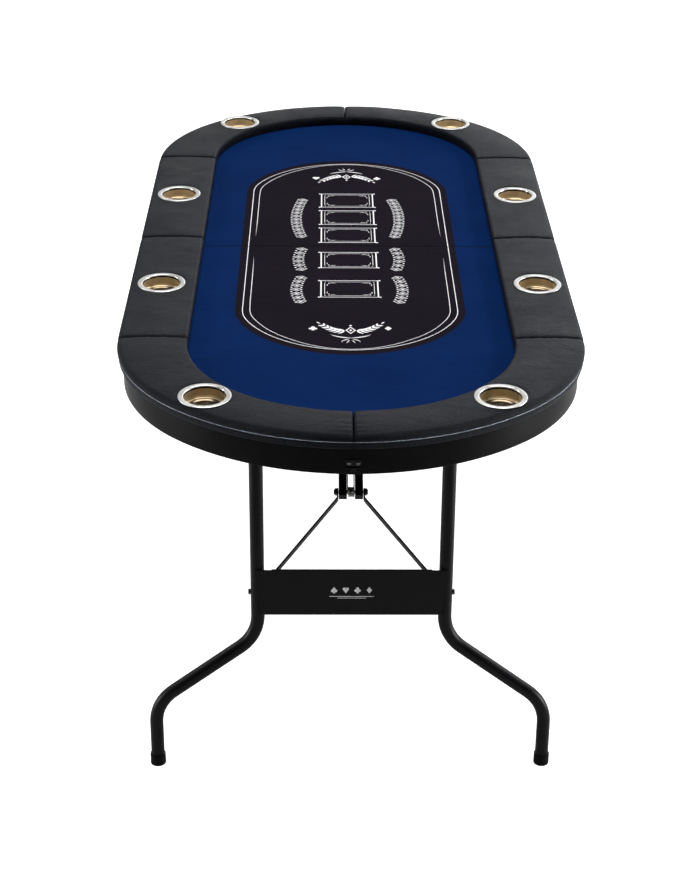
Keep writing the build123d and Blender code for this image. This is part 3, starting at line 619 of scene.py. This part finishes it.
def stroke(points, start_width, end_width, count=16):
    """A tapered brush stroke along a Bezier curve of three or four points."""
    points = np.array(points, float)
    order = len(points) - 1
    t = np.linspace(0, 1, count)[:, None]
    line = sum(math.comb(order, i) * (1 - t) ** (order - i) * t**i * points[i] for i in range(order + 1))
    ahead = np.gradient(line, axis=0)
    ahead /= np.linalg.norm(ahead, axis=1)[:, None]
    normal = np.column_stack([-ahead[:, 1], ahead[:, 0]])
    belly = np.sin(np.linspace(0.18, math.pi - 0.1, count))[:, None]
    width = (start_width + (end_width - start_width) * t) * belly / 2
    return [tuple(p) for p in np.vstack([line + normal * width, (line - normal * width)[::-1]])]


def both_sides(loops):
    return loops + [[(-x, v) for x, v in loop] for loop in loops]


def card_box(v):
    """One card's place: heavy rails with knobs, a fine inner frame with hollow corners, and flecks."""
    half_x, half_v = 0.0595, 0.0425
    white = [rectangle(0, v + s * half_v, 0.0635, 0.0009) for s in (-1, 1)]
    white += [rectangle(s * half_x, v, 0.0014, half_v) for s in (-1, 1)]
    white += [circle(a * 0.0635, v + b * half_v, 0.0025) for a in (-1, 1) for b in (-1, 1)]
    frame_x, frame_v, notch = 0.0525, 0.0360, 0.0075
    flecks = [circle(a * 0.043, v + b * 0.0275, 0.0017, 10) for a in (-1, 1) for b in (-1, 1)]
    for curve in (((0.040, 0.029), (0.033, 0.032), (0.027, 0.029)),
                  ((0.0455, 0.024), (0.048, 0.019), (0.0455, 0.014))):
        flecks += [stroke([(a * x, v + b * y) for x, y in curve], 0.0018, 0.0008, 8)
                   for a in (-1, 1) for b in (-1, 1)]
    ring = [rectangle(0, v, frame_x, frame_v), rectangle(0, v, frame_x - 0.0011, frame_v - 0.0011)]
    corners = [circle(a * frame_x, v + b * frame_v, notch, 16) for a in (-1, 1) for b in (-1, 1)]
    dots = [circle(a * (frame_x - 0.0015), v + b * (frame_v - 0.0015), 0.0013, 10)
            for a in (-1, 1) for b in (-1, 1)]
    painted = [("print_white", ring[0]), ("print_dark", ring[1])]
    painted += [("print_dark", loop) for loop in corners]
    painted += [("print_white", loop) for loop in dots + flecks + white]
    return painted


BAND_PITCH = 0.0205
BAND_DOTS = 0.0105


def bowed_band(v_start, v_end, x_end, bow):
    """A bowed row of hollow lozenges and dots beside the cards, on both sides."""
    half = (v_end - v_start) / 2
    middle = (v_end + v_start) / 2
    radius = (half**2 + bow**2) / (2 * bow)
    centre_x = x_end + bow - radius
    swing = math.asin(half / radius)
    count = max(2, round(2 * half / BAND_PITCH))
    painted = []
    for i in range(count):
        angle = -swing + 2 * swing * (i + 0.5) / count
        x = centre_x + radius * math.cos(angle)
        v = middle + radius * math.sin(angle)
        painted += [("print_white", loop) for loop in both_sides([lozenge(x, v, 0.0135, 0.0084, angle)])]
        painted += [("print_dark", loop) for loop in both_sides([lozenge(x, v, 0.0110, 0.0064, angle)])]
        painted += [("print_white", loop) for loop in both_sides([lozenge(x, v, 0.0055, 0.0024, angle)])]
        if i:
            edge = -swing + 2 * swing * i / count
            for reach in (-BAND_DOTS, BAND_DOTS):
                spot = circle(centre_x + (radius + reach) * math.cos(edge),
                              middle + (radius + reach) * math.sin(edge), 0.0021, 10)
                painted += [("print_white", loop) for loop in both_sides([spot])]
    return painted


def suit(kind, x, v, size, up):
    """A card suit from overlapping simple shapes; up is the V direction of its top."""
    s = size / 2
    if kind == "diamond":
        return [lozenge(x, v, s * 0.75, s)]
    if kind == "heart":
        lobes = [circle(x + a * s * 0.42, v + up * s * 0.35, s * 0.47) for a in (-1, 1)]
        shoulder = v + up * s * 0.15
        return lobes + [[(x - s * 0.84, shoulder), (x + s * 0.84, shoulder), (x, v - up * s)]]
    stem = [(x - s * 0.35, v - up * s), (x + s * 0.35, v - up * s), (x, v + up * s * 0.1)]
    if kind == "club":
        spots = [(0, 0.5), (-0.48, -0.15), (0.48, -0.15)]
        return [circle(x + a * s, v + up * b * s, s * 0.42) for a, b in spots] + [stem]
    lobes = [circle(x + a * s * 0.42, v - up * s * 0.25, s * 0.45) for a in (-1, 1)]
    waist = v - up * s * 0.1
    return lobes + [[(x - s * 0.8, waist), (x + s * 0.8, waist), (x, v + up * s)], stem]


LEAF_PAIRS = 6
STEM_POINTS = 20


def sprig(stem):
    """A laurel sprig: a thin stem with pairs of leaves that get smaller towards its tip."""
    line = stroke(stem, 0.0026, 0.0012, STEM_POINTS)
    edges = np.array(line)
    middle = (edges[:STEM_POINTS] + edges[:STEM_POINTS - 1:-1]) / 2
    leaves = [line]
    for i in range(LEAF_PAIRS):
        place = 1 + 3 * i
        spot, ahead = middle[place], middle[place + 1] - middle[place - 1]
        ahead = ahead / np.linalg.norm(ahead)
        beside = np.array([-ahead[1], ahead[0]])
        length = 0.0150 - 0.0010 * i
        for lean in (-1, 1):
            bend = spot + length * (0.45 * ahead + 0.55 * lean * beside)
            tip = spot + length * (ahead + 0.70 * lean * beside)
            leaves.append(stroke([spot, bend, tip], 0.0062, 0.0036, 8))
    tip = middle[-1]
    leaves.append(stroke([tip, tip + length * 0.5 * ahead, tip + length * ahead], 0.0046, 0.0026, 8))
    return leaves


def scroll(v, suits, up):
    """The ornament near the nose: two laurel sprigs from a lozenge, a garland and two suits."""
    leaves = sprig([(0.010, v + 0.012), (0.026, v + 0.016), (0.044, v + 0.004), (0.062, v - 0.022)])
    leaves.append(stroke([(0.0, v + 0.046), (0.016, v + 0.044), (0.034, v + 0.038), (0.040, v + 0.029)],
                         0.0052, 0.0018))
    leaves.append(stroke([(0.004, v + 0.050), (0.010, v + 0.056), (0.019, v + 0.055), (0.018, v + 0.066)],
                         0.0034, 0.0012))
    leaves.append(stroke([(0.002, v + 0.056), (0.006, v + 0.060), (0.006, v + 0.066), (0.010, v + 0.069)],
                         0.0026, 0.0010))
    painted = [("print_white", loop) for loop in both_sides(leaves)]
    painted += [("print_white", lozenge(0, v + 0.010, 0.0105, 0.0165))]
    painted += [("print_dark", lozenge(0, v + 0.010, 0.0075, 0.0125))]
    painted += [("print_white", lozenge(0, v + 0.010, 0.0030, 0.0052))]
    painted += [("print_white", circle(0, v - 0.012, 0.0028))]
    for x, kind in suits:
        painted += [("print_white", loop) for loop in suit(kind, x, v + 0.001, 0.019, up)]
    return painted


def inner_line():
    """The second line inside the border: it starts as a point and nears the border at the nose."""
    points = quarter(RING, 0.0, 0.010)
    along = lengths_along(points)
    part = (along - along[0]) / along[-1]
    shares = [0, 0.45, 0.62, 0.80, 0.93, 1.0]
    gap = np.interp(part, shares, [0.0145, 0.0145, 0.0165, 0.0125, 0.0045, 0.0035])
    ahead = np.gradient(points, axis=0)
    ahead /= np.linalg.norm(ahead, axis=1)[:, None]
    inward = np.column_stack([-ahead[:, 1], ahead[:, 0]])
    width = LINE * 0.85 * np.clip((points[:, 1] - INNER_LINE_START) / INNER_LINE_TAPER, 0, 1)
    keep = points[:, 1] > INNER_LINE_START - 0.001
    outer_edge = (points + inward * gap[:, None])[keep]
    inner_edge = (points + inward * (gap + width)[:, None])[keep]
    right = [tuple(p) for p in outer_edge]
    loop = right + [(-x, v) for x, v in right[::-1] if x > 1e-6]
    back = [tuple(p) for p in inner_edge]
    back_loop = [(-x, v) for x, v in back if x > 1e-6] + [tuple(p) for p in back[::-1]]
    return loop + back_loop


def layout_loops(half):
    painted = [("playing_cloth", half_loop(INNER, -LIP)), ("print_dark", half_loop(LAYOUT))]
    painted += [("print_white", half_loop(RING)), ("print_dark", half_loop(RING, LINE))]
    painted += [("print_white", inner_line())]
    if half == "far":
        for v in (0.0645, 0.171, 0.2775):
            painted += card_box(v)
        painted += bowed_band(0.047, 0.290, 0.101, 0.016)
        painted += scroll(EMBLEM_V, ((-0.073, "heart"), (0.073, "spade")), 1)
    else:
        for v in (0.077, 0.2305):
            painted += card_box(v)
        painted += bowed_band(0.006, 0.138, 0.098, 0.011)
        painted += bowed_band(0.162, 0.306, 0.098, 0.013)
        painted += scroll(EMBLEM_V, ((-0.075, "club"), (0.075, "diamond")), -1)
    return painted


def signed_area(loop):
    x, v = np.array(loop).T
    return (np.dot(x, np.roll(v, -1)) - np.dot(v, np.roll(x, -1))) / 2


def anticlockwise(loop):
    return loop if signed_area(loop) > 0 else loop[::-1]


def inside(outline, point, inset):
    """True when a point lies well inside a quarter outline."""
    edge = quarter(outline, inset, 0.02)
    return abs(point[0]) < np.interp(point[1], edge[:, 1], edge[:, 0]) and point[1] < edge[-1][1]


PRINTS = ("playing_cloth", "print_dark", "print_white")


def printed_solid(painted, filling, top_place, bottom_place):
    """A closed thin solid cut into the printed areas: points, faces and each face's print."""
    places, polygons = [], []
    for _, loop in painted:
        polygons.append(list(range(len(places), len(places) + len(loop))))
        places += [Vector(point) for point in anticlockwise(loop)]
    places += [Vector(point) for point in filling]
    result = delaunay_2d_cdt(places, [], polygons, 1, 1e-6)
    flat, triangles, owners = result[0], result[2], result[5]
    points = [top_place(p.x, p.y) for p in flat] + [bottom_place(p.x, p.y) for p in flat]
    count = len(flat)
    edges = {}
    faces, labels = [], []
    base = PRINTS.index(painted[0][0])
    for triangle, owner in zip(triangles, owners):
        if not owner:
            continue
        label = PRINTS.index(painted[max(owner)][0])
        faces += [tuple(triangle), tuple(count + i for i in triangle[::-1])]
        labels += [label, min(label, base)]
        for start, end in zip(triangle, triangle[1:] + triangle[:1]):
            edges[(start, end)] = label
    for (start, end), label in edges.items():
        if (end, start) not in edges:
            faces.append((end, start, count + start, count + end))
            labels.append(label)
    return points, faces, labels


def print_object(name, points, faces, labels):
    mesh = bpy.data.meshes.new(name)
    mesh.from_pydata(points, [], faces)
    for material in PRINTS:
        mesh.materials.append(MATERIALS[material])
    mesh.polygons.foreach_set("material_index", labels)
    mesh.polygons.foreach_set("use_smooth", [True] * len(faces))
    mesh.validate()
    obj = bpy.data.objects.new(name, mesh)
    bpy.context.scene.collection.objects.link(obj)
    crease_by_angle(obj, 40)
    return obj


def make_cloth(half):
    painted = layout_loops(half)
    sign = HALVES[half]
    columns = np.arange(-CLOTH_REACH, CLOTH_REACH + 0.0001, CLOTH_GRID)
    rows = [CLOTH_FOLD_V + row for row in FOLD_ROWS[1:]] + list(np.arange(0.02, INNER[1], CLOTH_GRID))
    filling = [(x, v) for v in rows for x in columns if inside(INNER, (x, v), 0.004)]

    def top_place(x, v):
        past = min(1.0, (v - CLOTH_FOLD_V) / FOLD_ROWS[-1])
        rolled = CLOTH_ROLL * (1 - math.sqrt(max(0.0, 1 - (1 - past) ** 2)))
        ripple = noise.noise(Vector((x * 9, v * 9 * sign, 1.3))) * CLOTH_RIPPLE
        return (x, v * sign, CLOTH_TOP + ripple * past - rolled)

    def bottom_place(x, v):
        return (x, v * sign, CLOTH_BOTTOM + 0.00005)

    obj = print_object(f"{half}_cloth", *printed_solid(painted, filling, top_place, bottom_place))
    area = signed_area(painted[0][1])
    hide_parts(f"{half}_felt")
    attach(obj, f"{half}_half")


MARK_PITCH = 0.022
MARK_SIZE = 0.0135
MARK_RISE = 0.006


def make_plate_mark(half):
    """A plain row of four suits over two rules, printed on the middle of the cross plate."""
    low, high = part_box(f"{half}_cross_plate")
    sign = HALVES[half]
    front_bottom = low.y if half == "near" else high.y
    middle = (low.z + high.z) / 2 + MARK_RISE
    lean = math.tan(math.radians(LEG_TILT))
    painted = []
    for place, kind in enumerate(("spade", "heart", "club", "diamond")):
        x = (place - 1.5) * MARK_PITCH
        painted += [("print_white", loop) for loop in suit(kind, x, 0.0, MARK_SIZE, 1)]
    painted += [("print_white", rectangle(0, -0.0135, 0.042, 0.0007))]
    painted += [("print_white", rectangle(0, -0.0170, 0.027, 0.0005))]

    def place_at(lift):
        def place(x, v):
            z = middle + v
            return (x, front_bottom - sign * ((z - low.z) * lean - lift), z)
        return place

    solid = printed_solid(painted, [], place_at(0.00022), place_at(0.00004))
    obj = print_object(f"{half}_plate_mark", *solid)
    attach(obj, f"{half}_leg_frame")


# ---- Cups -----------------------------------------------------------------------------------------
CUP_WALL = 0.0400
CUP_INNER = 0.0392
CUP_FLOOR = 0.0009
SHADE_RINGS = 2
WALL_RINGS = 8


def make_cup(half, side, kind):
    """A spun cup: rolled bright flange, a dark line of painted shade under it, warm-toned well and stepped
    floor.
    """
    node = f"{half}_{side}_{kind}_cup"
    low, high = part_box(node)
    centre = (low + high) / 2
    flange = (high.x - low.x) / 2
    top = high.z - low.z
    seat = CUSHION_TOP - low.z
    wall, inner, floor = CUP_WALL, CUP_INNER, CUP_FLOOR
    bright = [
        (wall, seat - 0.004), (wall, seat), (wall + 0.001, seat + 0.0001),
        (flange - 0.0006, seat + 0.0001), (flange, seat + 0.0004), (flange - 0.0001, seat + 0.0010),
        (flange - 0.0007, top - 0.0005),
        (flange - 0.0018, top - 0.0001), (flange - 0.0034, top), (flange - 0.0052, top - 0.0003),
        (wall + 0.0030, top - 0.0004), (wall + 0.0018, top - 0.0001), (wall + 0.0006, top - 0.0004),
        (inner + 0.0002, top - 0.0012), (inner, top - 0.0026),
    ]
    warm = [
        (inner - 0.0001, top - 0.0028), (inner - 0.0004, top - 0.0032), (inner - 0.0004, top - 0.0060),
        (inner - 0.0006, 0.0095), (inner - 0.0007, 0.0060), (inner - 0.0010, 0.0040),
        (inner - 0.0018, 0.0022), (inner - 0.0032, 0.0012), (inner - 0.0050, floor),
        (inner - 0.0075, floor),
        (inner - 0.0082, floor + 0.0010), (inner - 0.0098, floor + 0.0010), (inner - 0.0106, floor),
        (inner * 0.45, floor), (inner * 0.42, floor + 0.0005), (inner * 0.38, floor + 0.0005),
        (inner * 0.35, floor), (inner * 0.1, floor),
    ]
    outside = [
        (inner * 0.1, 0.0), (inner * 0.6, 0.0), (wall - 0.003, 0.0), (wall - 0.0006, 0.0007), (wall, 0.003),
    ]
    profile = bright + warm + outside
    # The first SHADE_RINGS rings under the flange are black steel: a band of painted shade between flange
    # and well.
    kinds = [0] * len(bright) + [3] * SHADE_RINGS + [1] * (WALL_RINGS - SHADE_RINGS)
    # The floor takes the darker floor metal: painted shade at the bottom of the cup.
    kinds += [2] * (len(warm) - WALL_RINGS) + [0] * len(outside)
    vertices, faces, labels = [], [], []
    for i in range(CUP_SEGMENTS):
        angle = 2 * math.pi * i / CUP_SEGMENTS
        vertices += [(r * math.cos(angle), r * math.sin(angle), z) for r, z in profile]
    count = len(profile)
    for i in range(CUP_SEGMENTS):
        j = (i + 1) % CUP_SEGMENTS
        for k in range(count):
            m = (k + 1) % count
            if profile[k][0] == profile[m][0] == inner * 0.1:
                continue
            faces.append((i * count + k, j * count + k, j * count + m, i * count + m))
            labels.append(kinds[k])
    for place, turn in ((len(bright) + len(warm) - 1, 1), (len(bright) + len(warm), -1)):
        faces.append(tuple(i * count + place for i in range(CUP_SEGMENTS))[::turn])
        labels.append(2 if turn == 1 else 0)
    metals = ["flange_metal", "well_metal", "floor_metal_painted_shade", "black_steel"]
    obj = make_object(node + "_spun", vertices, faces, metals)
    obj.data.polygons.foreach_set("material_index", labels)
    crease_by_angle(obj, 55)
    obj.location = (centre.x, centre.y, low.z)
    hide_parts(node)
    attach(obj, f"{half}_half")


# ---- Skirt ----------------------------------------------------------------------------------------
SKIRT_EASE = 0.0022
SKIRT_STEP = 0.006
SKIRT_ROWS = 260


def make_skirt(half):
    """The apron: one bent band with eased lower edges."""
    outer = quarter(OUTER, SKIRT_INSET, SKIRT_STEP)
    inner = quarter(OUTER, SKIRT_INSET + SKIRT_WALL, SKIRT_STEP)
    ease = SKIRT_EASE
    turns = np.linspace(0, math.pi / 2, 6)
    section = [(0.0, SKIRT_TOP - 0.0001), (0.0, SKIRT_TOP - 0.012), (0.0, SKIRT_BOTTOM + 0.02)]
    low = SKIRT_BOTTOM + ease
    section += [(ease - ease * math.cos(a), low - ease * math.sin(a)) for a in turns]
    section += [(SKIRT_WALL - ease + ease * math.sin(a), low - ease * math.cos(a)) for a in turns]
    section += [(SKIRT_WALL, SKIRT_BOTTOM + 0.02), (SKIRT_WALL, SKIRT_TOP - 0.0001)]
    depth = np.array([s[0] for s in section]) / SKIRT_WALL
    height = np.array([s[1] for s in section])
    outer[:, 1] = np.maximum(outer[:, 1], FOLD_V)
    inner[:, 1] = np.maximum(inner[:, 1], FOLD_V)
    rows = np.linspace(0, 1, SKIRT_ROWS)
    outer_points = at_lengths(outer, rows * lengths_along(outer)[-1])
    inner_points = at_lengths(inner, rows * lengths_along(inner)[-1])
    rings = []
    for mirror, order in ((1, slice(None)), (-1, slice(-2, None, -1))):
        for out_point, in_point in zip(outer_points[order], inner_points[order]):
            flat = out_point[None, :] + (in_point - out_point)[None, :] * depth[:, None]
            rings.append(np.column_stack([flat[:, 0] * mirror, flat[:, 1] * HALVES[half], height]))
    vertices, faces = loft(rings)
    obj = make_object(f"{half}_skirt_band", vertices, faces, ["skirt"])
    crease_by_angle(obj, 35)
    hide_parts(f"{half}_skirt")
    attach(obj, f"{half}_half")


# ---- Carried-over CAD nodes, floor, lights and camera --------------------------------------------------
FASTENERS = ("_screws", "_knuckle_nuts", "_brace_bolts")


def paint_cad_nodes():
    slots = {part["node"]: part["material_slot"] for part in frame["record"]["subparts"]}
    for node, obj in frame["nodes"].items():
        fastener = node.endswith(FASTENERS)
        look = "black_zinc" if fastener else slots[node]
        material = MATERIALS.get(look, MATERIALS["bracket_steel"])
        for slot in obj.material_slots:
            slot.material = material


FLOOR_REACH = 20.0
FLOOR_DROP = 0.0002


def make_floor():
    """A large pale floor, lifted towards white where the camera sees it."""
    steps = 9
    grid = np.linspace(-FLOOR_REACH, FLOOR_REACH, steps)
    vertices = [(x, y, -FLOOR_DROP) for y in grid for x in grid]
    faces = [(j * steps + i, j * steps + i + 1, (j + 1) * steps + i + 1, (j + 1) * steps + i)
             for j in range(steps - 1) for i in range(steps - 1)]
    material, tree, shader, place = start_material("pale_floor", Roughness=0.9, Specular_IOR_Level=0.0)
    patches = noise_at(tree, place, 1.5, 2.0)
    tone = mix_colours(tree, spread(tree, patches, 0.0, 1.0), (0.84, 0.84, 0.84, 1), (0.88, 0.88, 0.88, 1))
    tree.links.new(tone, shader.inputs["Base Color"])
    seen = add(tree, "ShaderNodeLightPath").outputs["Is Camera Ray"]
    shader.inputs["Emission Color"].default_value = (1, 1, 1, 1)
    tree.links.new(maths(tree, "MULTIPLY", seen, 0.85), shader.inputs["Emission Strength"])
    MATERIALS["pale_floor"] = material
    make_object("floor", vertices, faces, ["pale_floor"])


def aim(obj, target):
    obj.rotation_euler = (Vector(target) - obj.location).to_track_quat("-Z", "Y").to_euler()


def make_world():
    """A soft white studio, brightest low down behind the table and dim on the camera's side."""
    world = bpy.data.worlds.new("studio")
    bpy.context.scene.world = world
    world.use_nodes = True
    tree = world.node_tree
    direction = add(tree, "ShaderNodeTexCoord").outputs["Generated"]
    parts = add(tree, "ShaderNodeSeparateXYZ", {"Vector": direction}).outputs
    behind = spread(tree, parts["Y"], 0.0, 1.0, 0.0, 0.9)
    low = spread(tree, parts["Z"], 1.0, 0.0, 0.27, 0.40)
    right = spread(tree, parts["X"], 0.35, 1.65, -0.20, 0.20)
    glow = maths(tree, "MULTIPLY", maths(tree, "MULTIPLY", behind, low), right)
    front = spread(tree, parts["Y"], 0.25, 1.0, -0.7, -0.1)
    strength = maths(tree, "MULTIPLY", maths(tree, "ADD", maths(tree, "MULTIPLY", glow, 1.55), 0.09), front)
    background = tree.nodes["Background"]
    background.inputs["Color"].default_value = (0.97, 0.98, 1.0, 1.0)
    tree.links.new(strength, background.inputs["Strength"])


def make_lights():
    lights = (
        ("overhead", (0.0, 0.2, 4.5), (0.0, 0.0, 0.7), 3.0, 165.0),
        ("left", (-4.1, -0.5, 0.5), (0.0, 0.0, 0.6), 1.0, 45.0),
        ("right", (4.1, -0.5, 0.5), (0.0, 0.0, 0.6), 1.0, 75.0),
        ("left_high", (-3.2, 0.4, 2.2), (0.0, -0.6, 0.7), 0.5, 30.0),
        ("right_high", (3.2, 0.4, 2.2), (0.0, -0.6, 0.7), 0.5, 52.0),
        ("left_low", (-1.9, -1.0, 0.3), (-0.35, -0.8, 0.72), 0.5, 5.5),
        ("right_low", (1.9, -1.0, 0.3), (0.35, -0.8, 0.72), 0.5, 10.0),
    )
    for name, place, target, size, power in lights:
        data = bpy.data.lights.new(name, "AREA")
        data.shape = "SQUARE"
        data.size = size
        data.energy = power
        light = bpy.data.objects.new(name, data)
        bpy.context.scene.collection.objects.link(light)
        light.visible_camera = False
        light.location = place
        aim(light, target)


CAMERA_PLACE = (-0.0522, -3.7036, 2.2688)
CAMERA_TURNS = (0.927, 28.419, 0.565)
CAMERA_LENS = 75.11


def make_camera():
    data = bpy.data.cameras.new("camera")
    camera = bpy.data.objects.new("camera", data)
    bpy.context.scene.collection.objects.link(camera)
    yaw, pitch, roll = (math.radians(angle) for angle in CAMERA_TURNS)
    ahead = Vector((math.sin(yaw) * math.cos(pitch), math.cos(yaw) * math.cos(pitch), -math.sin(pitch)))
    level = Vector((math.cos(yaw), -math.sin(yaw), 0))
    over = level.cross(ahead)
    right = math.cos(roll) * level + math.sin(roll) * over
    up = math.cos(roll) * over - math.sin(roll) * level
    turn = Matrix((right, up, -ahead)).transposed()
    camera.matrix_world = Matrix.Translation(CAMERA_PLACE) @ turn.to_4x4()
    data.sensor_width = 36.0
    data.lens = CAMERA_LENS
    data.clip_end = 100.0
    bpy.context.scene.camera = camera


make_camera()
make_world()
make_lights()
make_floor()
bpy.context.scene.view_settings.view_transform = "Standard"
paint_cad_nodes()
make_rail()
for half in HALVES:
    make_cloth(half)
    make_skirt(half)
    make_plate_mark(half)
    for side in SIDES:
        for kind in ("side", "end"):
            make_cup(half, side, kind)
